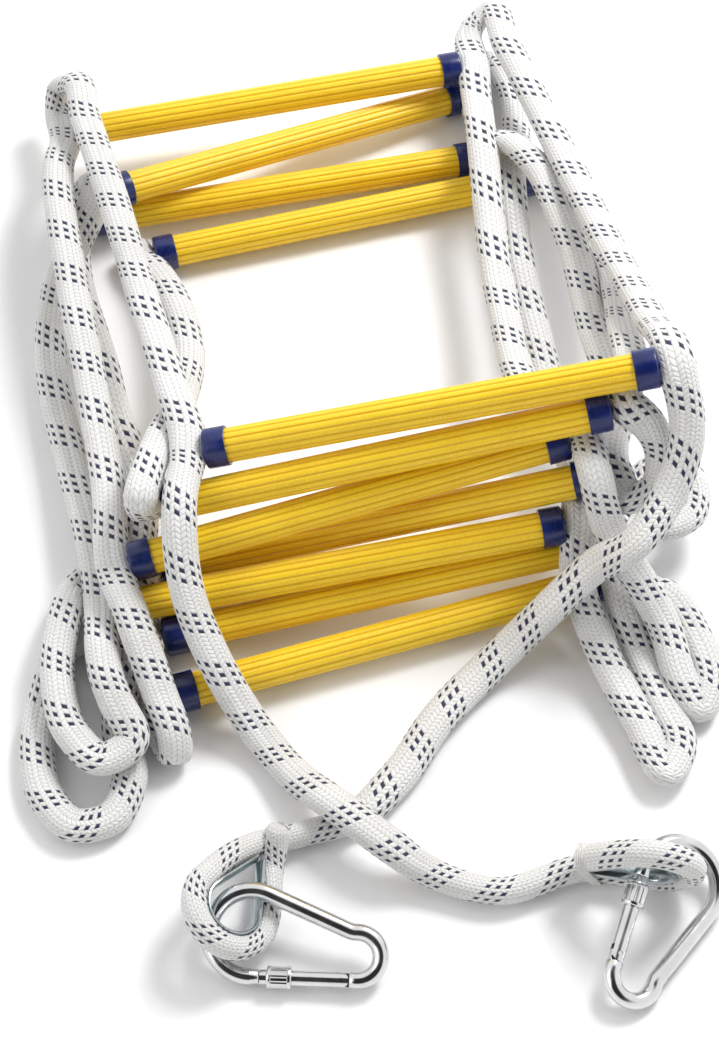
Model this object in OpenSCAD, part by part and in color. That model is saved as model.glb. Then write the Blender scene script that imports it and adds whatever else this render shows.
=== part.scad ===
// Escape rope ladder, folded on the floor: eleven ribbed rungs between two
// braided side ropes, each ending in a thimble eye with a screw-lock hook.
// Millimetres, +Z up, the rungs run along X and the hooks lie at -Y.

/* [Rungs] */
// Length of bare tube between the two end caps
rung_len = 280; // [276:1:280]
// Diameter over the ribs
rung_d = 24; // [22:0.5:24]
// Wall thickness behind the ribs
rung_wall = 2.5; // [1.5:0.5:4]
// Number of ribs round the tube
rib_count = 14; // [10:1:18]
// Depth of the groove between two ribs
groove_depth = 0.8; // [0.4:0.1:1.2]

/* [End caps] */
// Outer diameter
cap_d = 28; // [26.5:0.5:28]
// Length outside the rope
cap_len = 16; // [14:0.5:16]
// How far the tube goes in
socket_depth = 12; // [8:1:12]
// Diameter of the spigot that stands in the braid
spigot_d = 12; // [8:1:12]

/* [Side ropes] */
// Width of the flat braid
rope_w = 22; // [18:1:22]
// Thickness of the flat braid
rope_t = 16; // [12:1:16]

/* [Thimbles] */
// Inner radius of the eye
eye_r = 16; // [16:0.5:17]
// Metal thickness at the bottom of the groove
thimble_wall = 1.5; // [1:0.1:1.5]
// Width of the thimble
thimble_w = 14; // [12:1:14]

/* [Hooks] */
// Diameter of the bent bar
bar_d = 11; // [10:0.5:11]
// Diameter of the gate and of the nose it shuts against
gate_d = 10; // [9:0.5:10]
// Outer diameter of the screw nut
nut_d = 15; // [13:0.5:15]
// Length of the screw nut
nut_len = 16; // [12:1:16]
// Diameter of the hinge pin
pin_d = 3; // [2.5:0.5:3]

/* [Hidden] */
$fn = 48;

yellow = [0.95, 0.76, 0.08];
navy = [0.07, 0.09, 0.25];
white = [0.90, 0.90, 0.88];
steel = [0.74, 0.75, 0.77];

// The middle of the folded ladder's footprint, taken off every position below
footprint_centre = [-2, 29.5, 0];

// ---- Rungs, numbered down the ladder from the hooks ----
// Each one: [left end of the bare tube, yaw, tilt]
rungs = [
    [[ -90,   -4, 106],  4, 12  ],
    [[-208,  352,  42], 12,  1  ],
    [[-142,  -63,  57], 13,  9  ],
    [[-112, -144,  15], 17,  0  ],
    [[-120, -100,  16], 12,  4  ],
    [[-150,  -87,  34],  9,  5.5],
    [[-180,  286,  45], 26, -6  ],
    [[-196,  282,  16], 12,  0  ],
    [[-123,  -44, 17.5], 5, 14  ],
    [[-119,  -32,  80],  7, 11  ],
    [[-145,  246,  16], 15,  0  ],
];
rung_count = len(rungs);
left = -1;
right = 1;
socket_gap = 0.05;
groove_r = 1.2;
cap_edge = 1.2;
rope_gap = 1;   // between a cap and the rope's edge

function rung_axis(i) =
    let (yaw = rungs[i][1], tilt = rungs[i][2])
    [cos(tilt) * cos(yaw), cos(tilt) * sin(yaw), sin(tilt)];

// Where the side rope crosses the end of a rung
function rope_crossing(i, side) =
    let (out = cap_len + rope_gap + rope_w / 2)
    rungs[i][0] + rung_axis(i) * (side == left ? -out : rung_len + out);

// ---- Thimble eyes ----
// Each one: [centre, yaw of its long axis, dip of that axis, bank of its plane]
left_eye  = [[186.7, -283.5, 35.8], 168.5, 21.4, 80.8];
right_eye = [[-82, -309, 26.4], 68, 16, 28];
eye_rope_d = 18;    // the braid is drawn round and tight here
seat_r = eye_r + thimble_wall;
eye_path_r = seat_r + eye_rope_d / 2;
eye_tip = 45;       // from the eye's centre to the thimble's point
leg_angle = asin(seat_r / eye_tip);
throat = [eye_tip + 2, 9.8];

function eye_long(eye) =
    [cos(eye[1]) * cos(eye[2]), sin(eye[1]) * cos(eye[2]), -sin(eye[2])];
function eye_across(eye) =
    let (level = [-sin(eye[1]), cos(eye[1]), 0])
    level * cos(eye[3]) + cross(eye_long(eye), level) * sin(eye[3]);
function in_eye(eye, p) = eye[0] + p.x * eye_long(eye) + p.y * eye_across(eye);

// Rope centreline round the thimble, from one side of the throat to the other
eye_turns = 9;
function eye_loop(eye, from) = [
    in_eye(eye, [throat.x, from * throat.y]),
    for (k = [0:eye_turns])
        let (a = 90 - leg_angle + (180 + 2 * leg_angle) * k / eye_turns)
        in_eye(eye, eye_path_r * [cos(a), from * sin(a)]),
    in_eye(eye, [throat.x, -from * throat.y]),
];

// ---- Routes of the side ropes ----
// One list for each run: from the eye to rung 1, from each rung to the next,
// and the loose end below the last rung.
left_runs = [
    [[90, -290, 10], [40, -275, 14], [20, -265, 26], [-18, -235, 27], [-42, -210, 14],
     [-62, -184, 10], [-80, -162, 22], [-98, -138, 46], [-116, -100, 72], [-121, -50, 106]],
    [[-135, 65, 90], [-158, 145, 76], [-186, 240, 76], [-214, 330, 72], [-230, 385, 60],
     [-244, 392, 46], [-243, 370, 38]],
    [[-236, 300, 54], [-216, 180, 62], [-192, 70, 54], [-178, 0, 50]],
    [[-152, -116, 56], [-135, -158, 38], [-124, -186, 25], [-124, -193, 14], [-132, -178, 9]],
    [[-162, -126, 9], [-185, -98, 10], [-204, -108, 9], [-215, -145, 9], [-218, -188, 9],
     [-209, -222, 9], [-188, -243, 9], [-165, -238, 9], [-154, -210, 9], [-163, -172, 14],
     [-160, -150, 28], [-150, -125, 30]],
    [[-158, -78, 10], [-180, -46, 11], [-198, -62, 14], [-204, -92, 26], [-205, -145, 27],
     [-192, -185, 27], [-170, -204, 28], [-152, -192, 30], [-164, -165, 40],
     [-170, -150, 44], [-174, -130, 44]],
    [[-190, -30, 30], [-208, 33, 22], [-235, 165, 20], [-230, 210, 28], [-212, 250, 44]],
    [[-206, 298, 40], [-216, 306, 26]],
    [[-190, 120, 11]],
    [[-154, -58, 20], [-154, -50, 32], [-152, 0, 50], [-150, 6, 66]],
    [[-148, -46, 100], [-140, 10, 88], [-130, 60, 66], [-126, 115, 48], [-142, 185, 32],
     [-160, 222, 22]],
    [[-180, 256, 14]],
];
right_runs = [
    [[-40, -250, 9], [-5, -238, 8], [25, -208, 8], [55, -162, 9], [95, -120, 14],
     [132, -95, 44], [160, -80, 72], [184, -78, 96], [206, -52, 114], [218, -22, 142]],
    [[203, 90, 128], [186, 180, 94], [160, 286, 74], [120, 430, 58], [107, 478, 50],
     [94, 466, 42]],
    [[96, 330, 60], [106, 170, 56], [122, 60, 80], [136, 30, 97]],
    [[158, -26, 113], [170, -56, 82], [196, -84, 48], [210, -102, 30], [222, -140, 16],
     [232, -156, 12], [240, -140, 12], [232, -100, 16], [214, -70, 18], [192, -62, 14]],
    [[180, -15, 12], [196, 20, 14], [222, 35, 24], [238, 15, 34], [234, -14, 34],
     [214, -24, 36], [196, -14, 38]],
    [[182, -76, 30], [194, -112, 12], [206, -150, 10], [216, -186, 10], [206, -205, 12],
     [190, -168, 14], [165, -112, 22], [150, -68, 47]],
    [[140, 90, 42], [122, 240, 34], [120, 316, 42], [128, 364, 22], [124, 430, 14],
     [110, 456, 12], [96, 446, 12]],
    [[98, 388, 14]],
    [[102, 336, 42], [116, 321, 60], [136, 296, 62], [156, 240, 60], [174, 120, 66],
     [184, 50, 80]],
    [[184, -36, 88], [200, -34, 98], [204, -16, 116], [194, -4, 132]],
    [[188, 45, 124], [190, 110, 92], [190, 190, 56], [172, 260, 36]],
    [[150, 352, 16]],
];
left_tail = [];
right_tail = [[-52, -250, 28]];   // crosses on top of its own lead

function rope_route(tail, eye, from, runs, side) = [
    each tail,
    each eye_loop(eye, from),
    for (i = [0:rung_count - 1]) each concat(runs[i], [rope_crossing(i, side)]),
    each runs[rung_count],
];

// ---- Swept tubes ----
function unit(v) = v / norm(v);
function tangent(path, i) =
    unit(path[min(i + 1, len(path) - 1)] - path[max(i - 1, 0)]);
function square_to(v, t) = unit(v - (v * t) * t);

// Width direction of the next ring: carried along, and drawn towards level
function next_across(across, t) =
    let (
        carried = square_to(across, t),
        level = cross(t, [0, 0, 1]),
        pull = 1.5
    )
    square_to(carried + pull * sign(level * carried) * level, t);

// A closed tube of elliptical section along a path; sizes holds [width, thickness]
module tube(path, sizes, sides) {
    across = [
        for (
            i = 0, a = square_to([0.1, 1, 0], tangent(path, 0));
            i < len(path);
            i = i + 1, a = i < len(path) ? next_across(a, tangent(path, i)) : a
        ) a
    ];
    points = [
        for (i = [0:len(path) - 1], k = [0:sides - 1])
            let (
                up = cross(tangent(path, i), across[i]),
                angle = 360 * k / sides
            )
            path[i] + across[i] * sizes[i].x / 2 * cos(angle) + up * sizes[i].y / 2 * sin(angle)
    ];
    last = (len(path) - 1) * sides;
    faces = [
        [for (k = [0:sides - 1]) k],
        for (i = [0:len(path) - 2], k = [0:sides - 1])
            let (
                a = i * sides + k,
                b = i * sides + (k + 1) % sides
            )
            each [[a, a + sides, b], [b, a + sides, b + sides]],
        [for (k = [sides - 1:-1:0]) last + k],
    ];
    polyhedron(points, faces, convexity = 20);
}

// ---- Hooks ----
// Flat in their own XY plane: narrow bow at 0, wide bow at +X, gate on the +Y side.
// Each one: [position of the narrow end, [roll, pitch, yaw]]
left_hook  = [[167.5, -368.5, 8.3], [22.9, -9.7, 70.3]];
right_hook = [[19, -336.5, 15.5], [-23, 1, 177.5]];
bar_r = bar_d / 2;
gate_r = gate_d / 2;
gate_y = 16;
narrow_bow = [20.5, 1];
narrow_r = gate_y - narrow_bow.y;
wide_bow = [88.5, -11];
wide_r = gate_y - wide_bow.y;
spine_step = 2.5;   // the narrow bow stands proud of the spine's line
step_r = 12;        // bend that brings the narrow bow back to that line
step_angle = acos(1 - spine_step / (narrow_r + step_r));
bow_gap = wide_bow - narrow_bow;
spine_normal = atan2(bow_gap.y, bow_gap.x)
    - acos((narrow_r - spine_step - wide_r) / norm(bow_gap));
hinge_x = 30;
stub_end = 25;
tongue_r = 4.5;
tongue_t = 4;
fork_gap = 4.4;
ear_r = 4.7;
fork_floor = 35;
gate_end = 82;
nose_x = 82.5;
key_t = 3;
key_w = 8;
key_x = 79;
key_slot = 3.4;
key_floor = 78;
pin_run = 0.1;      // the pin turns in the tongue and is tight in the ears
nut_run = 0.2;
nut_x = 61.5;
bore_d = 4.2;
bore_end = 57;
plunger_d = 4;
plunger_x = 34.8;
plunger_len = 5.2;
spring_d = 3.9;
spring_wire = 0.5;
spring_turns = 6;

module placed(hook) {
    translate(hook[0] - footprint_centre) rotate(hook[1]) children();
}

function polar(r, angle) = r * [cos(angle), sin(angle), 0];
function arc(centre, r, from, to, steps) =
    [for (k = [0:steps]) concat(centre, [0]) + polar(r, from + (to - from) * k / steps)];

module bar(from, to, d) {
    translate([from, gate_y, 0]) rotate([0, 90, 0]) cylinder(d = d, h = to - from);
}

module hinge_hole(d, length) {
    translate([hinge_x, gate_y, -length / 2]) cylinder(d = d, h = length);
}

// The bent bar: hinge stub, narrow bow, step, spine, wide bow and nose
module bent_bar() {
    step_at = spine_normal + step_angle;
    step_centre = narrow_bow + [cos(step_at), sin(step_at)] * (narrow_r + step_r);
    shoulder = 1;
    path = concat(
        [[stub_end, gate_y, 0]],
        arc(narrow_bow, narrow_r, 90, 360 + step_at, 14),
        arc(step_centre, step_r, 180 + step_at, 180 + spine_normal, 3),
        arc(wide_bow, wide_r, spine_normal, 90, 14),
        [[wide_bow.x - shoulder, gate_y, 0], [nose_x, gate_y, 0]]
    );
    sizes = [
        for (i = [0:len(path) - 1])
            let (d = i < len(path) - 2 ? bar_d : gate_d)
            [d, d]
    ];
    tube(path, sizes, 16);
}

module hook_body(hook) {
    joined = 1;
    color(steel) placed(hook)
        union() {
            bent_bar();
            difference() {
                union() {
                    translate([stub_end - joined, gate_y - tongue_r, -tongue_t / 2])
                        cube([hinge_x - stub_end + joined, 2 * tongue_r, tongue_t]);
                    hinge_hole(2 * tongue_r, tongue_t);
                }
                hinge_hole(pin_d + pin_run, bar_d);
            }
            translate([key_x, gate_y - key_w / 2, -key_t / 2])
                cube([nose_x + joined - key_x, key_w, key_t]);
        }
}

module hook_gate(hook) {
    color(steel) placed(hook) {
        difference() {
            union() {
                intersection() {
                    bar(hinge_x - ear_r - 1, hinge_x, gate_d);
                    hinge_hole(2 * ear_r, gate_d);
                }
                bar(hinge_x, gate_end, gate_d);
            }
            hinge_hole(pin_d, gate_d + 1);
            translate([hinge_x - gate_d, gate_y - gate_d, -fork_gap / 2])
                cube([fork_floor - hinge_x + gate_d, 2 * gate_d, fork_gap]);
            translate([key_floor, gate_y - gate_d, -key_slot / 2])
                cube([gate_d, 2 * gate_d, key_slot]);
            bar(fork_floor - 1, bore_end, bore_d);
        }
    }
}

module hook_pin(hook) {
    length = gate_d * 0.9;
    color(steel) placed(hook) hinge_hole(pin_d, length);
}

module hook_plunger(hook) {
    color(steel) placed(hook)
        bar(plunger_x, plunger_x + plunger_len, plunger_d);
}

module hook_spring(hook) {
    steps = 12;
    from = plunger_x + plunger_len + spring_wire;
    to = bore_end - spring_wire;
    coil_r = (spring_d - spring_wire) / 2;
    path = [
        for (k = [0:spring_turns * steps])
            let (a = 360 * k / steps)
            [
                from + (to - from) * k / (spring_turns * steps),
                gate_y + coil_r * cos(a),
                coil_r * sin(a),
            ]
    ];
    color(steel) placed(hook)
        tube(path, [for (p = path) [spring_wire, spring_wire]], 6);
}

module hook_nut(hook) {
    color(steel) placed(hook)
        translate([nut_x, gate_y, 0]) rotate([0, 90, 0])
            difference() {
                cylinder(d = nut_d, h = nut_len);
                translate([0, 0, -1]) cylinder(d = gate_d + nut_run, h = nut_len + 2);
            }
}

// ---- Pieces of the ladder ----
module at_rung(i) {
    translate(rungs[i][0] - footprint_centre)
        rotate([0, 90 - rungs[i][2], rungs[i][1]])
            children();
}

module rung(i) {
    length = rung_len + 2 * socket_depth;
    color(yellow) at_rung(i)
        translate([0, 0, -socket_depth])
            linear_extrude(length)
                difference() {
                    circle(d = rung_d);
                    circle(d = rung_d - 2 * (groove_depth + rung_wall));
                    for (k = [0:rib_count - 1])
                        rotate(360 * k / rib_count)
                            translate([rung_d / 2 + groove_r - groove_depth, 0])
                                circle(r = groove_r, $fn = 16);
                }
}

// A cup over the tube's end, with a spigot that stands in the rope's braid
module cap(i, side) {
    spigot_end = cap_len + rope_gap + rope_w * 0.75;
    at_end = side == left ? 0 : rung_len;
    color(navy) at_rung(i)
        translate([0, 0, at_end]) mirror([0, 0, side == left ? 1 : 0])
            rotate_extrude()
                difference() {
                    polygon([
                        [0, 0],
                        [cap_d / 2, 0],
                        [cap_d / 2, cap_len - cap_edge],
                        [cap_d / 2 - cap_edge, cap_len],
                        [spigot_d / 2, cap_len],
                        [spigot_d / 2, spigot_end],
                        [0, spigot_end],
                    ]);
                    translate([0, -1])
                        square([rung_d / 2 + socket_gap, socket_depth + 1 + socket_gap]);
                }
}

module side_rope(route, round_rings) {
    sizes = [
        for (i = [0:len(route) - 1])
            i < round_rings ? [eye_rope_d, eye_rope_d] : [rope_w, rope_t]
    ];
    color(white) translate(-footprint_centre) tube(route, sizes, 8);
}

module thimble_section() {
    difference() {
        translate([eye_r, -thimble_w / 2]) square([thimble_wall + 2.5, thimble_w]);
        translate([eye_path_r, 0]) circle(d = eye_rope_d);
    }
}

// A teardrop channel: most of a turn, and two straight legs that meet at the point
module thimble(eye) {
    long = eye_long(eye);
    across = eye_across(eye);
    normal = cross(long, across);
    at = eye[0] - footprint_centre;
    leg = eye_tip + 10;
    color(steel)
        multmatrix([
            [long.x, across.x, normal.x, at.x],
            [long.y, across.y, normal.y, at.y],
            [long.z, across.z, normal.z, at.z],
        ]) {
            rotate([0, 0, 90 - leg_angle])
                rotate_extrude(angle = 180 + 2 * leg_angle) thimble_section();
            for (side = [0, 1])
                mirror([0, side, 0])
                    intersection() {
                        rotate([0, 0, 90 - leg_angle]) rotate([90, 0, 0])
                            linear_extrude(leg) thimble_section();
                        translate([0, 0, -thimble_w]) cube([leg, leg, 2 * thimble_w]);
                    }
        }
}

module left_rope() {
    route = rope_route(left_tail, left_eye, 1, left_runs, left);
    side_rope(route, eye_turns + 3);
}

module right_rope() {
    route = rope_route(right_tail, right_eye, -1, right_runs, right);
    side_rope(route, eye_turns + 4);
}

// The two leads cross, so the left rope's eye and hook lie on the right

for (i = [0:rung_count - 1]) {
    rung(i);
    cap(i, left);
    cap(i, right);
}
left_rope();
right_rope();
thimble(left_eye);  // left_thimble
thimble(right_eye);  // right_thimble
hook_body(left_hook);  // left_hook_body
hook_gate(left_hook);  // left_hook_gate
hook_pin(left_hook);  // left_hook_pin
hook_plunger(left_hook);  // left_hook_plunger
hook_spring(left_hook);  // left_hook_spring
hook_nut(left_hook);  // left_hook_nut
hook_body(right_hook);  // right_hook_body
hook_gate(right_hook);  // right_hook_gate
hook_pin(right_hook);  // right_hook_pin
hook_plunger(right_hook);  // right_hook_plunger
hook_spring(right_hook);  // right_hook_spring
hook_nut(right_hook);  // right_hook_nut
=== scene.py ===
"""Escape rope ladder, folded on the floor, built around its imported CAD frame.

Shapes are laid out in the design's millimetres and turned into the frame's
metres by placed(). Eleven ribbed rungs lie between two braided side ropes;
each rope starts in a thimble eye that holds a screw-lock hook.
"""

from math import acos, asin, atan2, ceil, cos, degrees, exp, hypot, pi, radians, sin

import bmesh
import bpy
from mathutils import Euler, Matrix, Vector, noise


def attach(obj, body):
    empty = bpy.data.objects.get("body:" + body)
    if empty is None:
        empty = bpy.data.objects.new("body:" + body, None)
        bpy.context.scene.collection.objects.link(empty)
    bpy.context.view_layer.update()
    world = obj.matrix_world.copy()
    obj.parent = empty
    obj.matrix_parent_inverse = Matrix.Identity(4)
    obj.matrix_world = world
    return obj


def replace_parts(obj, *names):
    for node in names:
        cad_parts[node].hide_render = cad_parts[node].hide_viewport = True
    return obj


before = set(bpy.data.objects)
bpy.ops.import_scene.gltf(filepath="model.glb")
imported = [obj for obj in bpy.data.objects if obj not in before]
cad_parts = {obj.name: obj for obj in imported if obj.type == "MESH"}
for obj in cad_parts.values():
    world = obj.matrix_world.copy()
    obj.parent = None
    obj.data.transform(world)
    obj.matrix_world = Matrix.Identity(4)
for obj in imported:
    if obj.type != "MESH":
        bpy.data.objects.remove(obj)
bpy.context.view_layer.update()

MM = 0.001
FOOTPRINT_CENTRE = Vector((-2, 29.5, 0))
LADDER = "ladder"


def placed(point):
    """A point of the design, in the frame's metres."""
    return (Vector(point) - FOOTPRINT_CENTRE) * MM


# ---------------------------------------------------------------- camera

CAMERA_AT = (0, -832.7, 1282.3)
CAMERA_TILT = 33        # degrees up from looking straight down
CAMERA_VIEW = 28.05     # degrees from the bottom of the picture to its top

camera_data = bpy.data.cameras.new("camera")
camera_data.sensor_fit = "VERTICAL"
camera_data.angle = radians(CAMERA_VIEW)
camera = bpy.data.objects.new("camera", camera_data)
camera.location = placed(CAMERA_AT)
camera.rotation_euler = (radians(CAMERA_TILT), 0, 0)
bpy.context.collection.objects.link(camera)
bpy.context.scene.camera = camera


# ---------------------------------------------------------------- meshes


def skin(name, rings, joined=False, along=None, sharp=radians(35)):
    """A mesh object over closed rings of points in the design's millimetres.

    joined makes the last ring meet the first; otherwise both ends are capped.
    along gives each ring's place along the piece for the map named "wrap",
    whose other direction runs once round each ring.
    """
    count, sides = len(rings), len(rings[0])
    faces, corners = [], []
    for i in range(count if joined else count - 1):
        near, far = i * sides, (i + 1) % count * sides
        for k in range(sides):
            after = (k + 1) % sides
            faces.append((near + k, near + after, far + after, far + k))
            corners += [(i, k), (i, k + 1), (i + 1, k + 1), (i + 1, k)]
    if not joined:
        faces.append(tuple(reversed(range(sides))))
        faces.append(tuple(range((count - 1) * sides, count * sides)))
        corners += [(0, k) for k in reversed(range(sides))]
        corners += [(count - 1, k) for k in range(sides)]
    mesh = bpy.data.meshes.new(name)
    mesh.from_pydata([placed(p) for ring in rings for p in ring], [], faces)
    if along:
        uv = mesh.uv_layers.new(name="wrap")
        for loop, (i, k) in zip(uv.data, corners):
            loop.uv = (k / sides, along[min(i, count - 1)])
    build = bmesh.new()
    build.from_mesh(mesh)
    bmesh.ops.recalc_face_normals(build, faces=build.faces)
    build.to_mesh(mesh)
    build.free()
    mesh.shade_smooth()
    mesh.set_sharp_from_angle(angle=sharp)
    piece = bpy.data.objects.new(name, mesh)
    bpy.context.collection.objects.link(piece)
    return piece


def finished(piece, body, material):
    """Gives a piece its material and the body that carries it."""
    piece.data.materials.clear()
    piece.data.materials.append(material)
    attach(piece, body)
    return piece


def unit_steps(count):
    """Even steps from 0 up to, but not including, 1."""
    return [k / count for k in range(count)]


# ---------------------------------------------------------------- materials


class Field:
    """A number at each point of a surface, written in nodes by plain arithmetic."""

    def __init__(self, material, socket):
        self.material = material
        self.socket = socket

    def math(self, operation, *others):
        node = self.material.node_tree.nodes.new("ShaderNodeMath")
        node.operation = operation
        for slot, value in zip(node.inputs, (self, *others)):
            if isinstance(value, Field):
                self.material.node_tree.links.new(value.socket, slot)
            else:
                slot.default_value = value
        return Field(self.material, node.outputs[0])

    def __add__(self, other):
        return self.math("ADD", other)

    def __sub__(self, other):
        return self.math("SUBTRACT", other)

    def __rsub__(self, other):
        return (self * -1) + other

    def __mul__(self, other):
        return self.math("MULTIPLY", other)

    def __truediv__(self, other):
        return self.math("DIVIDE", other)

    def __mod__(self, other):
        return self.math("FLOORED_MODULO", other)

    def floor(self):
        return self.math("FLOOR")

    def sine(self):
        return self.math("SINE")

    def size(self):
        return self.math("ABSOLUTE")

    def power(self, exponent):
        return self.math("POWER", exponent)

    def below(self, limit):
        return self.math("LESS_THAN", limit)

    def ramp(self, low, high):
        """0 at low, 1 at high, and smooth between them."""
        node = self.material.node_tree.nodes.new("ShaderNodeMapRange")
        node.interpolation_type = "SMOOTHSTEP"
        node.inputs["From Min"].default_value = low
        node.inputs["From Max"].default_value = high
        self.material.node_tree.links.new(self.socket, node.inputs["Value"])
        return Field(self.material, node.outputs["Result"])


class Finish:
    """A material with one Principled shader, whose inputs take numbers or fields."""

    def __init__(self, name, **fixed):
        self.material = bpy.data.materials.new(name)
        self.material.use_nodes = True
        self.nodes = self.material.node_tree.nodes
        self.links = self.material.node_tree.links
        self.shader = self.nodes["Principled BSDF"]
        for socket, value in fixed.items():
            self.shader.inputs[socket.replace("_", " ")].default_value = value

    def wrap(self):
        """(round, along): once round the piece, and along it in millimetres."""
        uv = self.nodes.new("ShaderNodeUVMap")
        uv.uv_map = "wrap"
        split = self.nodes.new("ShaderNodeSeparateXYZ")
        self.links.new(uv.outputs["UV"], split.inputs[0])
        return (
            Field(self.material, split.outputs["X"]),
            Field(self.material, split.outputs["Y"]),
        )

    def noise(self, size, detail=2.0, rough=0.5):
        """Noise from 0 to 1 whose lumps are size millimetres across."""
        place = self.nodes.new("ShaderNodeTexCoord")
        texture = self.nodes.new("ShaderNodeTexNoise")
        texture.inputs["Scale"].default_value = 1 / (size * MM)
        texture.inputs["Detail"].default_value = detail
        texture.inputs["Roughness"].default_value = rough
        self.links.new(place.outputs["Object"], texture.inputs["Vector"])
        return Field(self.material, texture.outputs["Fac"])

    def mix(self, amount, first, second):
        """A colour between two colours or colour sockets."""
        node = self.nodes.new("ShaderNodeMix")
        node.data_type = "RGBA"
        self.links.new(amount.socket, node.inputs["Factor"])
        for slot, colour in zip((node.inputs[6], node.inputs[7]), (first, second)):
            if isinstance(colour, bpy.types.NodeSocket):
                self.links.new(colour, slot)
            else:
                slot.default_value = (*colour, 1)
        return node.outputs[2]

    def colour(self, socket):
        self.links.new(socket, self.shader.inputs["Base Color"])

    def rough(self, field):
        self.links.new(field.socket, self.shader.inputs["Roughness"])

    def bump(self, height, depth):
        """Relief of that depth in millimetres where height runs from 0 to 1."""
        node = self.nodes.new("ShaderNodeBump")
        node.inputs["Distance"].default_value = depth * MM
        self.links.new(height.socket, node.inputs["Height"])
        self.links.new(node.outputs["Normal"], self.shader.inputs["Normal"])


BRAID_COLUMNS = 24      # rows of stitches round the rope
STITCH = 2.6            # length of one stitch along the rope
STITCH_SLANT = 0.62     # how far a stitch leans along the rope across its row
TRACER_EVERY = 12       # stitches from one band of the tracer to its next
TRACER_BAND = 6         # stitches in one band, of which every second one is navy


def braid_finish():
    """White polyester braid, with navy stitches in a band that winds round it, and painted shade
    in the gaps between its stitches.
    """
    finish = Finish("rope_white", Roughness=0.6, Sheen_Weight=0.3, Sheen_Roughness=0.4)
    turn, along = finish.wrap()
    columns = turn * BRAID_COLUMNS
    column = columns.floor()
    across = columns - column
    leans_right = column % 2
    lean = leans_right * 2 - 1
    shifted = along / STITCH + lean * across * STITCH_SLANT + leans_right * 0.5
    stitch = shifted.floor()
    place = shifted - stitch
    plump = (place * pi).sine().power(0.6) * (across * pi).sine().power(0.45)
    climb = column * (TRACER_EVERY / BRAID_COLUMNS)
    in_band = (stitch + climb) % TRACER_EVERY
    navy = in_band.below(TRACER_BAND) * (in_band % 2).below(0.9) * leans_right
    yarn_width = 1 - (place - 0.5).size().ramp(0.40, 0.48)
    tracer = navy * yarn_width * (across * pi).sine().ramp(0.02, 0.25)
    strands = ((place * 3 + across * 0.6) * 2 * pi).sine() * 0.10
    shade = finish.noise(45, detail=3)
    fuzz = finish.noise(1.2, detail=4)
    white, greyed, fresh = (0.80, 0.80, 0.79), (0.72, 0.71, 0.69), (0.86, 0.86, 0.85)
    painted_shade_between_stitches, navy_yarn = (0.52, 0.50, 0.48), (0.008, 0.014, 0.055)
    cloth = finish.mix(shade.ramp(0.3, 0.75), white, greyed)
    cloth = finish.mix(fuzz.ramp(0.45, 0.8), cloth, fresh)
    # painted shade: a grey where the stitches dip between each other, standing in for the shade
    # there
    cloth = finish.mix(plump.ramp(0.0, 0.5), painted_shade_between_stitches, cloth)
    finish.colour(finish.mix(tracer, cloth, navy_yarn))
    finish.bump(plump + strands, 0.6)
    return finish.material


RIB_COUNT = 14


def rung_finish():
    """Moulded yellow plastic with a fine grain, and a painted amber shade in the grooves."""
    finish = Finish("rung_yellow", Roughness=0.42, Coat_Weight=0.15, Coat_Roughness=0.3)
    turn, along = finish.wrap()
    from_groove = ((turn * RIB_COUNT + 0.5) % 1 - 0.5).size()
    groove = 1 - from_groove.ramp(0.06, 0.22)
    grain = finish.noise(0.8, detail=3)
    tone = finish.noise(30)
    yellow, deeper, bright = (0.92, 0.61, 0.010), (0.86, 0.54, 0.008), (0.97, 0.72, 0.04)
    painted_groove_shade = (0.76, 0.44, 0.007)
    rib = finish.mix(tone.ramp(0.3, 0.7), yellow, deeper)
    rib = finish.mix(grain.ramp(0.40, 0.75), rib, bright)
    # painted shade: the grooves are coloured a darker amber to stand in for their shade
    finish.colour(finish.mix(groove, rib, painted_groove_shade))
    scuffs = finish.noise(6, detail=5, rough=0.7)
    finish.rough(scuffs.ramp(0.35, 0.8) * 0.2 + 0.34)
    finish.bump(grain, 0.18)
    return finish.material


def cap_finish():
    """Glossy navy moulded plastic."""
    finish = Finish("cap_navy", Roughness=0.3, Coat_Weight=0.1, Coat_Roughness=0.15)
    grain = finish.noise(1.1, detail=3)
    tone = finish.noise(9, detail=4)
    navy, lighter_navy = (0.004, 0.011, 0.085), (0.008, 0.020, 0.150)
    finish.colour(finish.mix(tone.ramp(0.3, 0.8), navy, lighter_navy))
    finish.rough(tone.ramp(0.3, 0.8) * 0.14 + 0.24)
    finish.bump(grain, 0.05)
    return finish.material


def steel_finish(name, base, rough):
    """Polished steel with faint streaks and rubbed patches."""
    finish = Finish(name, Metallic=1.0)
    tone = finish.noise(14, detail=4)
    grain = finish.noise(0.7, detail=4)
    polished = tuple(min(1, value * 1.12) for value in base)
    finish.colour(finish.mix(tone.ramp(0.3, 0.75), base, polished))
    finish.rough(tone.ramp(0.35, 0.8) * 0.10 + grain * 0.06 + rough)
    finish.bump(grain, 0.012)
    return finish.material


def thread_finish():
    """Waxed white sewing thread, laid in two plies."""
    finish = Finish("sewing_thread", Roughness=0.5)
    tone = finish.noise(2.5, detail=3)
    finish.colour(finish.mix(tone.ramp(0.3, 0.7), (0.62, 0.61, 0.58), (0.78, 0.77, 0.75)))
    finish.bump(finish.noise(0.5), 0.15)
    return finish.material


rope_material = braid_finish()
thread_material = thread_finish()
rung_material = rung_finish()
cap_material = cap_finish()
steel_material = steel_finish("steel", (0.66, 0.66, 0.67), 0.10)
thimble_material = steel_finish("thimble_steel", (0.42, 0.47, 0.48), 0.16)


# ---------------------------------------------------------------- rungs' places

RUNG_LEN = 280
RUNG_D = 24
RUNG_WALL = 2.5
GROOVE_DEPTH = 0.8
GROOVE_HALF = 1.25
CAP_D = 28
CAP_LEN = 16
SOCKET_DEPTH = 12
SOCKET_GAP = 0.05
SPIGOT_D = 12
ROPE_W = 22
ROPE_GAP = 1            # between a cap and the rope's edge

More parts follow.
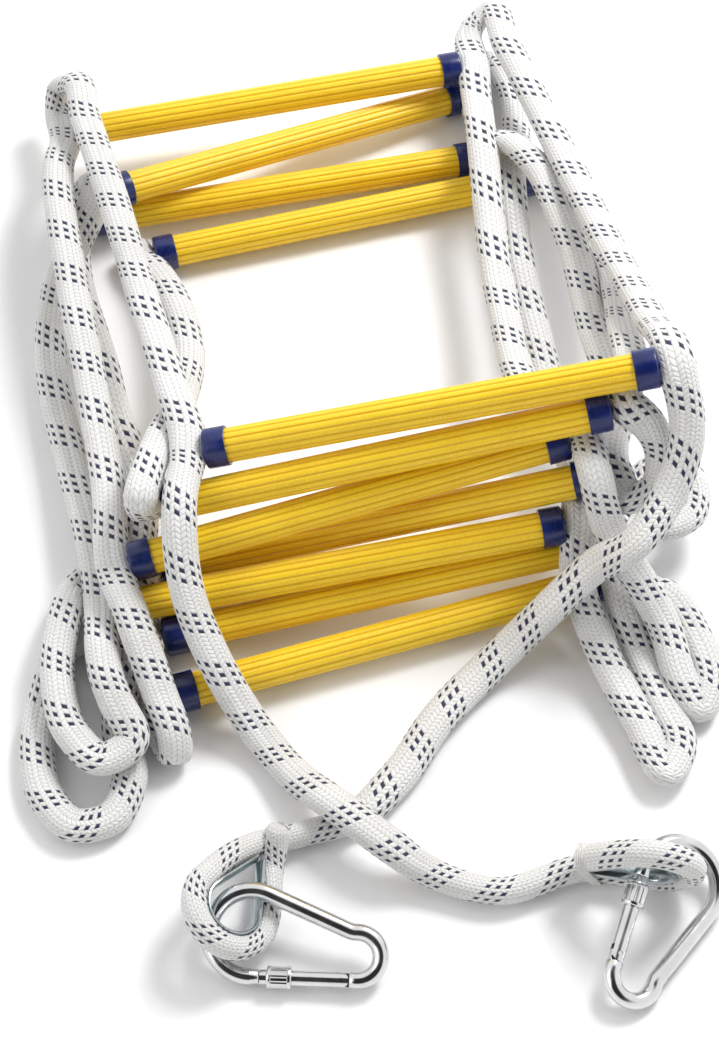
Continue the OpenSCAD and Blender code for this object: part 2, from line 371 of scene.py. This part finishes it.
# Each rung: (left end of its bare tube, yaw, tilt), numbered down the ladder
RUNGS = [
    ((-90, -4, 106), 4, 12),
    ((-208, 352, 42), 12, 1),
    ((-142, -63, 57), 13, 9),
    ((-112, -144, 15), 17, 0),
    ((-120, -100, 16), 12, 4),
    ((-150, -87, 34), 9, 5.5),
    ((-180, 286, 45), 26, -6),
    ((-196, 282, 16), 12, 0),
    ((-123, -44, 17.5), 5, 14),
    ((-119, -32, 80), 7, 11),
    ((-145, 246, 16), 15, 0),
]
LEFT, RIGHT = -1, 1
SIDES = {LEFT: "left", RIGHT: "right"}


def rung_axis(rung):
    _, yaw, tilt = rung
    yaw, tilt = radians(yaw), radians(tilt)
    return Vector((cos(tilt) * cos(yaw), cos(tilt) * sin(yaw), sin(tilt)))


def rope_crossing(rung, side):
    """Where the side rope crosses the end of a rung."""
    out = CAP_LEN + ROPE_GAP + ROPE_W / 2
    return Vector(rung[0]) + rung_axis(rung) * (-out if side == LEFT else RUNG_LEN + out)


# ---------------------------------------------------------------- side ropes

EYE_R = 16
THIMBLE_WALL = 1.5
EYE_ROPE_D = 18         # the braid is drawn round and tight here
SEAT_R = EYE_R + THIMBLE_WALL
EYE_PATH_R = SEAT_R + EYE_ROPE_D / 2
EYE_TIP = 45            # from the eye's centre to the thimble's point
LEG_ANGLE = asin(SEAT_R / EYE_TIP)
THROAT = (EYE_TIP + 2, 9.8)
EYE_TURNS = 9


class Eye:
    """A thimble eye: its centre, the yaw and dip of its long axis, and its bank."""

    def __init__(self, centre, yaw, dip, bank):
        yaw, dip, bank = radians(yaw), radians(dip), radians(bank)
        level = Vector((-sin(yaw), cos(yaw), 0))
        self.centre = Vector(centre)
        self.long = Vector((cos(yaw) * cos(dip), sin(yaw) * cos(dip), -sin(dip)))
        self.across = level * cos(bank) + self.long.cross(level) * sin(bank)
        self.normal = self.long.cross(self.across)

    def at(self, x, y, z=0):
        return self.centre + self.long * x + self.across * y + self.normal * z

    def loop(self, start):
        """The rope's line round the thimble, from one side of the throat to the other."""
        first = pi / 2 - LEG_ANGLE
        turn = pi + 2 * LEG_ANGLE
        angles = [first + turn * k / EYE_TURNS for k in range(EYE_TURNS + 1)]
        ring = [self.at(EYE_PATH_R * cos(a), start * EYE_PATH_R * sin(a)) for a in angles]
        x, y = THROAT
        return [self.at(x, start * y), *ring, self.at(x, -start * y)]


LEFT_EYE = Eye((186.7, -283.5, 35.8), 168.5, 21.4, 80.8)
RIGHT_EYE = Eye((-82, -309, 26.4), 68, 16, 28)

# One list for each run: from the eye to rung 1, from each rung to the next, and
# the loose end below the last rung
LEFT_RUNS = [
    [(90, -290, 10), (40, -275, 14), (20, -265, 26), (-18, -235, 27), (-42, -210, 14),
     (-62, -184, 10), (-80, -162, 22), (-98, -138, 46), (-116, -100, 72), (-121, -50, 106)],
    [(-135, 65, 90), (-158, 145, 76), (-186, 240, 76), (-214, 330, 72), (-230, 385, 60),
     (-244, 392, 46), (-243, 370, 38)],
    [(-236, 300, 54), (-216, 180, 62), (-192, 70, 54), (-178, 0, 50)],
    [(-152, -116, 56), (-135, -158, 38), (-124, -186, 25), (-124, -193, 14), (-132, -178, 9)],
    [(-162, -126, 9), (-185, -98, 10), (-204, -108, 9), (-215, -145, 9), (-218, -188, 9),
     (-209, -222, 9), (-188, -243, 9), (-165, -238, 9), (-154, -210, 9), (-163, -172, 14),
     (-160, -150, 28), (-150, -125, 30)],
    [(-158, -78, 10), (-180, -46, 11), (-198, -62, 14), (-204, -92, 26), (-205, -145, 27),
     (-192, -185, 27), (-170, -204, 28), (-152, -192, 30), (-164, -165, 40),
     (-170, -150, 44), (-174, -130, 44)],
    [(-190, -30, 30), (-208, 33, 22), (-235, 165, 20), (-230, 210, 28), (-212, 250, 44)],
    [(-206, 298, 40), (-216, 306, 26)],
    [(-190, 120, 11)],
    [(-154, -58, 20), (-154, -50, 32), (-152, 0, 50), (-150, 6, 66)],
    [(-148, -46, 100), (-140, 10, 88), (-130, 60, 66), (-126, 115, 48), (-142, 185, 32),
     (-160, 222, 22)],
    [(-180, 256, 14)],
]
RIGHT_RUNS = [
    [(-40, -250, 9), (-5, -238, 8), (25, -208, 8), (55, -162, 9), (95, -120, 14),
     (132, -95, 44), (160, -80, 72), (184, -78, 96), (206, -52, 114), (218, -22, 142)],
    [(203, 90, 128), (186, 180, 94), (160, 286, 74), (120, 430, 58), (107, 478, 50),
     (94, 466, 42)],
    [(96, 330, 60), (106, 170, 56), (122, 60, 80), (136, 30, 97)],
    [(158, -26, 113), (170, -56, 82), (196, -84, 48), (210, -102, 30), (222, -140, 16),
     (232, -156, 12), (240, -140, 12), (232, -100, 16), (214, -70, 18), (192, -62, 14)],
    [(180, -15, 12), (196, 20, 14), (222, 35, 24), (238, 15, 34), (234, -14, 34),
     (214, -24, 36), (196, -14, 38)],
    [(182, -76, 30), (194, -112, 12), (206, -150, 10), (216, -186, 10), (206, -205, 12),
     (190, -168, 14), (165, -112, 22), (150, -68, 47)],
    [(140, 90, 42), (122, 240, 34), (120, 316, 42), (128, 364, 22), (124, 430, 14),
     (110, 456, 12), (96, 446, 12)],
    [(98, 388, 14)],
    [(102, 336, 42), (116, 321, 60), (136, 296, 62), (156, 240, 60), (174, 120, 66),
     (184, 50, 80)],
    [(184, -36, 88), (200, -34, 98), (204, -16, 116), (194, -4, 132)],
    [(188, 45, 124), (190, 110, 92), (190, 190, 56), (172, 260, 36)],
    [(150, 352, 16)],
]
LEFT_TAIL = []
RIGHT_TAIL = [(-52, -250, 28)]


def rope_route(tail, eye, start, runs, side):
    """The rope's points, and the axis of the rung at each point where it holds one."""
    route = [Vector(p) for p in tail] + eye.loop(start)
    held = {}
    for run, rung in zip(runs, RUNGS):
        route += [Vector(p) for p in run] + [rope_crossing(rung, side)]
        held[len(route) - 1] = rung_axis(rung)
    return route + [Vector(p) for p in runs[-1]], held


def square_to(v, tangent):
    """The part of v square to the tangent, one unit long."""
    return (v - tangent * v.dot(tangent)).normalized()


def directions(path):
    """The path's direction at each of its points."""
    last = len(path) - 1
    return [(path[min(i + 1, last)] - path[max(i - 1, 0)]).normalized() for i in range(last + 1)]


LEVEL_PULL = 0.08       # share by which each ring's width is drawn towards level


def braid_widths(tangents):
    """The braid's width direction at each ring: carried along, and drawn to level."""
    across = [square_to(Vector((0.1, 1, 0)), tangents[0])]
    for tangent in tangents[1:]:
        carried = square_to(across[-1], tangent)
        level = tangent.cross(Vector((0, 0, 1)))
        towards = LEVEL_PULL if level.dot(carried) > 0 else -LEVEL_PULL
        across.append(square_to(carried + level * towards, tangent))
    return across


STEPS_PER_GAP = 40


def smooth_line(points, spacing):
    """Points at even steps on a smooth curve, each with its place in the list."""
    last = len(points) - 1
    gaps = [(points[i + 1] - points[i]).length for i in range(last)]

    def slope(i):
        if i == 0:
            return (points[1] - points[0]) / gaps[0]
        if i == last:
            return (points[last] - points[last - 1]) / gaps[last - 1]
        before, after = gaps[i - 1], gaps[i]
        into = (points[i] - points[i - 1]) / before
        out = (points[i + 1] - points[i]) / after
        return (into * after + out * before) / (before + after)

    fine = []
    for i in range(last):
        start, end = slope(i) * gaps[i], slope(i + 1) * gaps[i]
        for t in unit_steps(STEPS_PER_GAP):
            fine.append((
                points[i] * (2 * t**3 - 3 * t**2 + 1)
                + start * (t**3 - 2 * t**2 + t)
                + points[i + 1] * (3 * t**2 - 2 * t**3)
                + end * (t**3 - t**2),
                i + t,
            ))
    fine.append((points[last], float(last)))
    even, travelled = [fine[0]], 0.0
    for (here, _), (there, place) in zip(fine, fine[1:]):
        travelled += (there - here).length
        if travelled >= spacing:
            even.append((there, place))
            travelled = 0.0
    return even


RING_SPACING = 2.2
RING_SIDES = 2 * BRAID_COLUMNS
BRAID_SIZE = (24.2, 16.6)       # width and thickness over the stitches
FLAT_LEAD = (25.5, 14.0)        # the right rope's lead is pressed flatter
RIGHT_EYE_BRAID = 17    # drawn tighter, clear of the open gate
RIGHT_EYE_PRESS = (3.9, 1.2, 0.12)      # place on the route, reach and depth of the dent
RIDGE = 0.22            # how far a row of stitches stands out of the braid
END_ROUND = 7           # length over which a rope's end rounds off
END_SHARE = 0.25        # share of the braid's size left at the very end
HOLD = 16               # the braid turns its width to a rung within this distance
HOLD_SWELL = 0.10       # and opens by this share round the rung's end
HOLD_LEAST = 0.01       # a weaker hold is left out
SWELL = 0.04            # share by which the braid's size wanders along it
SWELL_LENGTH = 55       # and over what length it does
SQUARENESS = 0.15       # how far the flat braid's oval is squared
CREASE = 0.16           # depth of the lengthwise crease, as a share of the thickness
CREASE_LENGTH = 70      # length over which the crease deepens and fades
CREASE_WIDTH = 0.3      # as a share of half the braid's width
CREASE_DRIFT = 0.25     # how far it wanders from the middle, as the same share
DRIFT_LENGTH = 90
FLOOR_GAP = 0.3


def hold_weights(line, held):
    """For each ring, how near it is to a rung's end, from 0 to 1, and that rung's axis."""
    weights = [(0.0, None)] * len(line)
    for place, axis in held.items():
        middle = min(range(len(line)), key=lambda i: abs(line[i][1] - place))
        for i in range(len(line)):
            weight = exp(-(((i - middle) * RING_SPACING / HOLD) ** 2))
            if weight > weights[i][0]:
                weights[i] = (weight, axis)
    return weights


def lying(point, across, up, width, thickness):
    """The point, raised if the braid would go through the floor."""
    reach = hypot(across.z * width / 2, up.z * thickness / 2)
    return Vector((point.x, point.y, max(point.z, reach + FLOOR_GAP)))


def left_eye_size(_place):
    """The braid's diameter in the left eye, the same all round it."""
    return EYE_ROPE_D


def right_eye_size(place):
    """The braid's diameter in the right eye, dented where the gate swings closest to it."""
    at, reach, depth = RIGHT_EYE_PRESS
    return RIGHT_EYE_BRAID * (1 - depth * exp(-(((place - at) / reach) ** 2)))


def eased(value):
    """0 below 0, 1 above 1, and smooth between them."""
    value = min(1, max(0, value))
    return value * value * (3 - 2 * value)


def braid_ring(centre, across, up, width, thickness, squareness, crease, drift):
    """One ring of an oval, squared a little and creased, with its rows of stitches."""
    ring = []
    for k in range(RING_SIDES):
        angle = 2 * pi * k / RING_SIDES
        x, y = cos(angle), sin(angle)
        x = abs(x) ** (1 - squareness) * (1 if x > 0 else -1)
        y *= 1 - crease * exp(-(((x - drift) / CREASE_WIDTH) ** 2))
        ridge = 0 if k % 2 == 0 else -RIDGE
        offset = across * x * (width / 2 + ridge) + up * y * (thickness / 2 + ridge)
        ring.append(centre + offset)
    return ring


def end_shrink(from_end):
    """The share of the braid's size left at a distance from the rope's end."""
    if from_end >= END_ROUND:
        return 1
    part = 1 - from_end / END_ROUND
    return max(END_SHARE, (1 - part * part) ** 0.5)


def braid(name, route, held, round_points, lead_size, eye_size):
    """A braided rope along the route; returns the piece and its centreline."""
    lead_end = min(held)
    line = smooth_line(route, RING_SPACING)
    centres = [point for point, _ in line]
    tangents = directions(centres)
    widths = braid_widths(tangents)
    holds = hold_weights(line, held)
    length = RING_SPACING * (len(line) - 1)
    seed = len(name)
    rings, along = [], []
    for i, (point, place) in enumerate(line):
        across = widths[i]
        near_rung, axis = holds[i]
        if near_rung > HOLD_LEAST:
            axis = axis if axis.dot(across) > 0 else -axis
            across = square_to(across.lerp(axis, near_rung), tangents[i])
        up = tangents[i].cross(across)
        flat = eased((place - round_points) / 2)
        past_lead = eased(place - lead_end + 2)
        tight = eye_size(place)
        distance = i * RING_SPACING
        swell = 1 - SWELL * flat * noise.noise(Vector((distance / SWELL_LENGTH, seed, 0)))
        swell += HOLD_SWELL * near_rung
        shrink = end_shrink(min(distance, length - distance))
        width, thickness = (
            (tight + (lead + (run - lead) * past_lead - tight) * flat) * swell * shrink
            for lead, run in zip(lead_size, BRAID_SIZE)
        )
        fold = noise.noise(Vector((distance / CREASE_LENGTH, 0, seed)))
        crease = CREASE * flat * (0.5 + fold)
        drift = CREASE_DRIFT * noise.noise(Vector((0, distance / DRIFT_LENGTH, seed)))
        centre = lying(point, across, up, width, thickness)
        rings.append(
            braid_ring(centre, across, up, width, thickness, SQUARENESS * flat, crease, drift)
        )
        along.append(distance)
        centres[i] = centre
    return skin(name, rings, along=along, sharp=pi), centres


def stadium(half_gap, radius, turn):
    """A point on the outline round two circles side by side, turn from 0 to 1."""
    straight, bend = 2 * half_gap, pi * radius
    s = turn % 1 * 2 * (straight + bend)
    sign = 1
    if s >= straight + bend:
        s, sign = s - straight - bend, -1
    if s < straight:
        return sign * (half_gap - s), sign * radius
    angle = (s - straight) / radius
    return sign * (-half_gap - radius * sin(angle)), sign * radius * cos(angle)


THREAD_D = 1.3
THREAD_TURNS = 5
THREAD_SIDES = 8
SEIZING_AT = 36.5       # from the eye's centre to the first turn
ROPE_HALF_GAP = 13.6    # from the eye's long axis to either side of the rope there


def seizing(name, eye):
    """A few turns of sewing thread that draw the two sides of the eye together."""
    steps = 48
    pitch = THREAD_D * 1.1
    path = []
    for k in range(THREAD_TURNS * steps + 1):
        turn = k / steps
        y, z = stadium(ROPE_HALF_GAP, EYE_ROPE_D / 2 + FLOOR_GAP, turn)
        point = eye.at(SEIZING_AT + pitch * turn, y, z)
        point.z = max(point.z, THREAD_D)
        path.append(point)
    angles = [2 * pi * t for t in unit_steps(THREAD_SIDES)]
    rings = []
    for point, tangent in zip(path, directions(path)):
        first = square_to(eye.long, tangent)
        second = tangent.cross(first)
        rings.append([
            point + (first * cos(a) + second * sin(a)) * THREAD_D / 2 for a in angles
        ])
    piece = skin(name, rings)
    return finished(piece, LADDER, thread_material)


def side_rope(name, tail, eye, start, runs, side, lead_size, eye_size):
    """One side rope's braid, in place of the frame's rope."""
    route, held = rope_route(tail, eye, start, runs, side)
    round_points = len(tail) + EYE_TURNS + 3
    piece, centres = braid(f"{name}_braid", route, held, round_points, lead_size, eye_size)
    finished(piece, LADDER, rope_material)
    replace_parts(piece, name)


left_pieces = [seizing("left_eye_seizing", LEFT_EYE)]
side_rope(
    "left_rope", LEFT_TAIL, LEFT_EYE, 1, LEFT_RUNS, LEFT, BRAID_SIZE, left_eye_size
)
side_rope("right_rope", RIGHT_TAIL, RIGHT_EYE, -1, RIGHT_RUNS, RIGHT, FLAT_LEAD, right_eye_size)


# ---------------------------------------------------------------- thimbles

THIMBLE_OPEN = 38       # degrees of the groove's arc on each side of its middle


def thimble_section():
    """The outline of the rolled channel's section: inside, lip, outside, lip."""
    inner = EYE_ROPE_D / 2 + THIMBLE_WALL
    outer = EYE_ROPE_D / 2
    middle = (inner + outer) / 2
    half_open = radians(THIMBLE_OPEN)
    arcs = [half_open * (k / 8 - 1) for k in range(17)]
    lip = [radians(45 * k) for k in range(1, 4)]
    section = [(EYE_PATH_R - inner * cos(a), inner * sin(a)) for a in arcs]
    for a in lip:
        turned = half_open + THIMBLE_WALL / 2 / middle * sin(a)
        radius = middle + THIMBLE_WALL / 2 * cos(a)
        section.append((EYE_PATH_R - radius * cos(turned), radius * sin(turned)))
    section += [(EYE_PATH_R - outer * cos(a), outer * sin(a)) for a in reversed(arcs)]
    for a in lip:
        turned = half_open + THIMBLE_WALL / 2 / middle * sin(a)
        radius = middle - THIMBLE_WALL / 2 * cos(a)
        section.append((EYE_PATH_R - radius * cos(turned), -radius * sin(turned)))
    return section


def thimble(name, eye):
    """A teardrop of rolled channel round the eye, whose two ends meet at the point."""
    turns, leg_steps = 72, 10
    first = pi / 2 - LEG_ANGLE
    leg = EYE_R / sin(LEG_ANGLE) * cos(LEG_ANGLE)
    stations = [(first, leg * k / leg_steps) for k in range(leg_steps, 0, -1)]
    stations += [(first + (2 * pi - 2 * first) * k / turns, 0) for k in range(turns + 1)]
    stations += [(-first, leg * k / leg_steps) for k in range(1, leg_steps + 1)]
    section = thimble_section()
    rings = []
    for angle, along_leg in stations:
        slide = along_leg if sin(angle) > 0 else -along_leg
        slide_x, slide_y = sin(angle) * slide, -cos(angle) * slide
        rings.append([
            eye.at(r * cos(angle) + slide_x, r * sin(angle) + slide_y, z) for r, z in section
        ])
    piece = skin(name, rings)
    return finished(piece, LADDER, thimble_material)


for side_name, eye in (("left", LEFT_EYE), ("right", RIGHT_EYE)):
    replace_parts(thimble(f"{side_name}_channel_thimble", eye), f"{side_name}_thimble")


# ---------------------------------------------------------------- rungs and caps


def rung_frame(rung):
    """Where a rung's tube starts, with its axis, and two directions square to it."""
    axis = rung_axis(rung)
    side = axis.cross(Vector((0, 0, 1))).normalized()
    return Vector(rung[0]), axis, side, side.cross(axis)


def ribbed_radius(angle):
    pitch = 2 * pi / RIB_COUNT
    off = abs((angle + pitch / 2) % pitch - pitch / 2) * RUNG_D / 2
    if off > GROOVE_HALF:
        return RUNG_D / 2
    return RUNG_D / 2 - GROOVE_DEPTH * (0.5 + 0.5 * cos(pi * off / GROOVE_HALF))


def rung_tube(name, rung):
    """A ribbed tube: its outside, its far end, its bore and its near end."""
    origin, axis, side, up = rung_frame(rung)
    angles = [2 * pi * t for t in unit_steps(RIB_COUNT * 8)]
    bore = RUNG_D / 2 - GROOVE_DEPTH - RUNG_WALL
    near, far = -SOCKET_DEPTH, RUNG_LEN + SOCKET_DEPTH
    spacing = 20
    steps = ceil((far - near) / spacing)
    stations = [near + (far - near) * k / steps for k in range(steps + 1)]
    ribbed = [ribbed_radius(a) for a in angles]
    smooth = [bore] * len(angles)
    outline = [(x, ribbed) for x in stations] + [(x, smooth) for x in reversed(stations)]
    rings = [
        [
            origin + axis * x + (side * cos(a) + up * sin(a)) * radius
            for a, radius in zip(angles, radii)
        ]
        for x, radii in outline
    ]
    along = [x for x, _ in outline]
    return skin(name, rings, joined=True, along=along + along[:1])


def lathe(name, profile, origin, axis, side, up, turns=64):
    """A solid of revolution: profile holds (distance along the axis, radius)."""
    angles = [2 * pi * t for t in unit_steps(turns)]
    rings = [
        [origin + axis * x + (side * cos(a) + up * sin(a)) * r for a in angles]
        for x, r in profile
    ]
    return skin(name, rings)


def rounded(centre_x, centre_r, radius, start, end, steps=5):
    """Profile points on an arc, from one angle in degrees to another."""
    angles = [radians(start + (end - start) * k / steps) for k in range(steps + 1)]
    return [(centre_x + radius * cos(a), centre_r + radius * sin(a)) for a in angles]


def end_cap(name, rung, side_sign):
    """A cup over the tube's end, with a spigot that stands in the rope's braid."""
    origin, axis, side, up = rung_frame(rung)
    if side_sign == RIGHT:
        origin = origin + axis * RUNG_LEN
    else:
        axis, side = -axis, -side
    lip, rim, chamfer = 0.7, 1.6, 1
    radius = CAP_D / 2
    socket = RUNG_D / 2 + SOCKET_GAP
    floor_at = SOCKET_DEPTH + SOCKET_GAP
    spigot_end = CAP_LEN + ROPE_GAP + ROPE_W * 0.75
    near_axis = 0.05
    profile = [
        (floor_at, near_axis),
        (floor_at, socket),
        (lip / 2, socket),
        *rounded(lip, radius - lip, lip, 180, 90),
        *rounded(CAP_LEN - rim, radius - rim, rim, 90, 0),
        (CAP_LEN, SPIGOT_D / 2),
        (spigot_end - chamfer, SPIGOT_D / 2),
        (spigot_end, SPIGOT_D / 2 - chamfer),
        (spigot_end, near_axis),
    ]
    return lathe(name, profile, origin, axis, side, up)


for number, rung in enumerate(RUNGS, start=1):
    tube = rung_tube(f"ribbed_rung_{number}", rung)
    finished(tube, LADDER, rung_material)
    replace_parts(tube, f"rung_{number}")
    for side_sign, side_name in SIDES.items():
        cap = end_cap(f"{side_name}_end_cap_{number}", rung, side_sign)
        finished(cap, LADDER, cap_material)
        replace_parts(cap, f"{side_name}_cap_{number}")


# ---------------------------------------------------------------- hooks

BAR_D = 11
GATE_D = 10
GATE_Y = 16
NARROW_BOW = Vector((20.5, 1))
WIDE_BOW = Vector((88.5, -11))
NARROW_R = GATE_Y - NARROW_BOW.y
WIDE_R = GATE_Y - WIDE_BOW.y
SPINE_STEP = 2.5
STEP_R = 12
STEP_ANGLE = degrees(acos(1 - SPINE_STEP / (NARROW_R + STEP_R)))
BOW_GAP = WIDE_BOW - NARROW_BOW
SPINE_NORMAL = degrees(
    atan2(BOW_GAP.y, BOW_GAP.x) - acos((NARROW_R - SPINE_STEP - WIDE_R) / BOW_GAP.length)
)
HINGE_X = 30
STUB_END = 25
NOSE_X = 82.5
TONGUE_R = 4.5
TONGUE_T = 4
KEY_X = 79
KEY_W = 8
KEY_T = 3
JOINED = 1              # how far the tongue and the key reach into the bar
NUT_X = 61.5
NUT_LEN = 16
NUT_D = 15
NUT_BORE = 10.2
NUT_FLUTES = 12


def hook_place(position, turns):
    """Takes a hook's own plane to its place; the turns are roll, pitch and yaw."""
    rotation = Euler([radians(t) for t in turns], "XYZ").to_matrix().to_4x4()
    return Matrix.Translation(Vector(position)) @ rotation


HOOKS = {
    "left": hook_place((167.5, -368.5, 8.3), (22.9, -9.7, 70.3)),
    "right": hook_place((19, -336.5, 15.5), (-23, 1, 177.5)),
}


def arc(centre, radius, start, end, steps):
    """Points on an arc in a hook's own plane, from one angle in degrees to another."""
    turns = [radians(start + (end - start) * k / steps) for k in range(steps + 1)]
    return [Vector((centre.x + radius * cos(a), centre.y + radius * sin(a), 0)) for a in turns]


def round_bar(name, place, line, diameters, sides=40):
    """A round bar along a flat line in a hook's own plane."""
    rings = []
    for point, tangent, diameter in zip(line, directions(line), diameters):
        flat = tangent.cross(Vector((0, 0, 1)))
        rings.append([
            place @ (point + (flat * cos(a) + Vector((0, 0, sin(a)))) * diameter / 2)
            for a in (2 * pi * t for t in unit_steps(sides))
        ])
    return skin(name, rings, sharp=radians(50))


def hook_line():
    """The bent bar's line and its diameters, from the hinge stub round to the nose."""
    edge, shoulder = 0.6, 1.5
    step_at = SPINE_NORMAL + STEP_ANGLE
    around = radians(step_at)
    step_centre = NARROW_BOW + Vector((cos(around), sin(around))) * (NARROW_R + STEP_R)
    stub = [Vector((x, GATE_Y, 0)) for x in (STUB_END, STUB_END - edge)]
    narrow = arc(NARROW_BOW, NARROW_R, 90, 360 + step_at, 60)
    step = arc(step_centre, STEP_R, 180 + step_at, 180 + SPINE_NORMAL, 5)
    wide = arc(WIDE_BOW, WIDE_R, SPINE_NORMAL, 90, 56)
    gap = wide[0] - step[-1]
    spine = [step[-1] + gap * k / 8 for k in range(1, 8)]
    nose_xs = (WIDE_BOW.x - 0.4, WIDE_BOW.x - shoulder, NOSE_X + edge, NOSE_X)
    nose = [Vector((x, GATE_Y, 0)) for x in nose_xs]
    line = stub + narrow + step[1:] + spine + wide + nose
    diameters = [BAR_D] * (len(line) - 3) + [GATE_D, GATE_D, GATE_D - 1]
    diameters[0] = BAR_D - 2 * edge
    return line, diameters


def joined(parts, name):
    """One mesh object out of several, which are used up."""
    build = bmesh.new()
    for part in parts:
        build.from_mesh(part.data)
        bpy.data.meshes.remove(part.data)
    mesh = bpy.data.meshes.new(name)
    build.to_mesh(mesh)
    build.free()
    piece = bpy.data.objects.new(name, mesh)
    bpy.context.collection.objects.link(piece)
    return piece


def plate(name, place, outline, thickness, edge=0.4):
    """A flat plate with eased edges, in a hook's own plane."""
    middle = sum(outline, Vector((0, 0))) / len(outline)
    rings = []
    for z, inset in (
        (-thickness / 2, edge),
        (-thickness / 2 + edge, 0),
        (thickness / 2 - edge, 0),
        (thickness / 2, edge),
    ):
        ring = []
        for point in outline:
            towards = (middle - point).normalized() * inset
            ring.append(place @ Vector((point.x + towards.x, point.y + towards.y, z)))
        rings.append(ring)
    return skin(name, rings)


def hinge_tongue(name, place):
    """The flat tongue that the gate's ears turn on."""
    root = STUB_END - JOINED
    outline = [point.xy for point in arc(Vector((HINGE_X, GATE_Y)), TONGUE_R, -90, 90, 16)]
    outline += [Vector((root, GATE_Y + TONGUE_R)), Vector((root, GATE_Y - TONGUE_R))]
    return plate(name, place, outline, TONGUE_T)


def nose_key(name, place):
    """The flat key on the nose that the shut gate's slot takes."""
    root, half = NOSE_X + JOINED, KEY_W / 2
    corners = ((KEY_X, -half), (root, -half), (root, half), (KEY_X, half))
    return plate(name, place, [Vector((x, GATE_Y + y)) for x, y in corners], KEY_T)


def screw_nut(name, place):
    """A collar with eased ends, a bore, and rows of flutes round its middle."""
    turns = unit_steps(96)
    edge, band, waist, flute = 0.9, 2.4, 0.35, 0.45
    radius = NUT_D / 2
    half = [
        (0, radius - edge),
        (0.3, radius - edge * 0.4),
        (edge, radius),
        (band, radius),
        (band + waist + 0.05, radius - waist),
    ]
    outside = half + [(NUT_LEN - x, r) for x, r in reversed(half)]
    inside = [(NUT_LEN, NUT_BORE / 2), (0, NUT_BORE / 2)]
    rings = []
    for x, r in outside + inside:
        depth = flute if band < x < NUT_LEN - band else 0
        ring = []
        for t in turns:
            around = 2 * pi * t
            reach = r - depth * max(0, sin(around * NUT_FLUTES))
            ring.append(Vector((NUT_X + x, GATE_Y + reach * cos(around), reach * sin(around))))
        rings.append([place @ point for point in ring])
    return skin(name, rings, joined=True)


for side_name, place in HOOKS.items():
    line, diameters = hook_line()
    bar = round_bar(f"{side_name}_bar", place, line, diameters)
    tongue = hinge_tongue(f"{side_name}_tongue", place)
    key = nose_key(f"{side_name}_key", place)
    hook = joined([bar, tongue, key], f"{side_name}_bent_hook")
    finished(hook, f"{side_name}_hook", steel_material)
    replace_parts(hook, f"{side_name}_hook_body")
    nut = screw_nut(f"{side_name}_screw_nut", place)
    finished(nut, f"{side_name}_nut", steel_material)
    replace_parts(nut, f"{side_name}_hook_nut")
    for part in ("gate", "pin", "plunger", "spring"):
        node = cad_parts[f"{side_name}_hook_{part}"]
        node.data.materials.clear()
        node.data.materials.append(steel_material)


# ---------------------------------------------------------------- floor and light

FLOOR_HALF = 30         # metres
floor_corners = ((-1, -1), (1, -1), (1, 1), (-1, 1))
floor_mesh = bpy.data.meshes.new("floor")
floor_mesh.from_pydata(
    [(x * FLOOR_HALF, y * FLOOR_HALF, 0) for x, y in floor_corners], [], [(0, 1, 2, 3)]
)
floor = bpy.data.objects.new("floor", floor_mesh)
bpy.context.collection.objects.link(floor)
floor_look = Finish("floor", Roughness=0.7)
floor_tone = floor_look.noise(220, detail=3)
floor_look.colour(floor_look.mix(floor_tone, (0.93, 0.93, 0.93), (0.90, 0.90, 0.91)))
floor_mesh.materials.append(floor_look.material)


def area_light(name, position, size, watts):
    """A square soft light at a point of the frame, in metres, facing the ladder."""
    light = bpy.data.lights.new(name, "AREA")
    light.size = size
    light.energy = watts
    lamp = bpy.data.objects.new(name, light)
    lamp.location = position
    aim = Vector((0, 0, 0.05)) - Vector(position)
    lamp.rotation_euler = aim.to_track_quat("-Z", "Y").to_euler()
    bpy.context.collection.objects.link(lamp)


area_light("key", position=(1.0, 1.1, 1.8), size=0.7, watts=42)
area_light("fill", position=(-1.5, -0.9, 1.5), size=1.6, watts=8)


def studio_world():
    """Bright all round but for one dim patch, which polished steel shows as dark streaks."""
    patch_direction = (0, -0.5, 0.866)
    patch_edge = (0.74, 0.86)       # cosines of the angle from the patch's middle
    bright, dim = 1.05, 0.03
    world = bpy.data.worlds.new("studio")
    world.use_nodes = True
    nodes, links = world.node_tree.nodes, world.node_tree.links
    background = nodes["Background"]
    place = nodes.new("ShaderNodeTexCoord")
    nearness = nodes.new("ShaderNodeVectorMath")
    nearness.operation = "DOT_PRODUCT"
    nearness.inputs[1].default_value = patch_direction
    strength = nodes.new("ShaderNodeMapRange")
    strength.interpolation_type = "SMOOTHSTEP"
    strength.inputs["From Min"].default_value = patch_edge[0]
    strength.inputs["From Max"].default_value = patch_edge[1]
    strength.inputs["To Min"].default_value = bright
    strength.inputs["To Max"].default_value = dim
    links.new(place.outputs["Generated"], nearness.inputs[0])
    links.new(nearness.outputs["Value"], strength.inputs["Value"])
    links.new(strength.outputs["Result"], background.inputs["Strength"])
    background.inputs["Color"].default_value = (1, 1, 1, 1)
    bpy.context.scene.world = world


studio_world()
bpy.context.scene.view_settings.view_transform = "Standard"
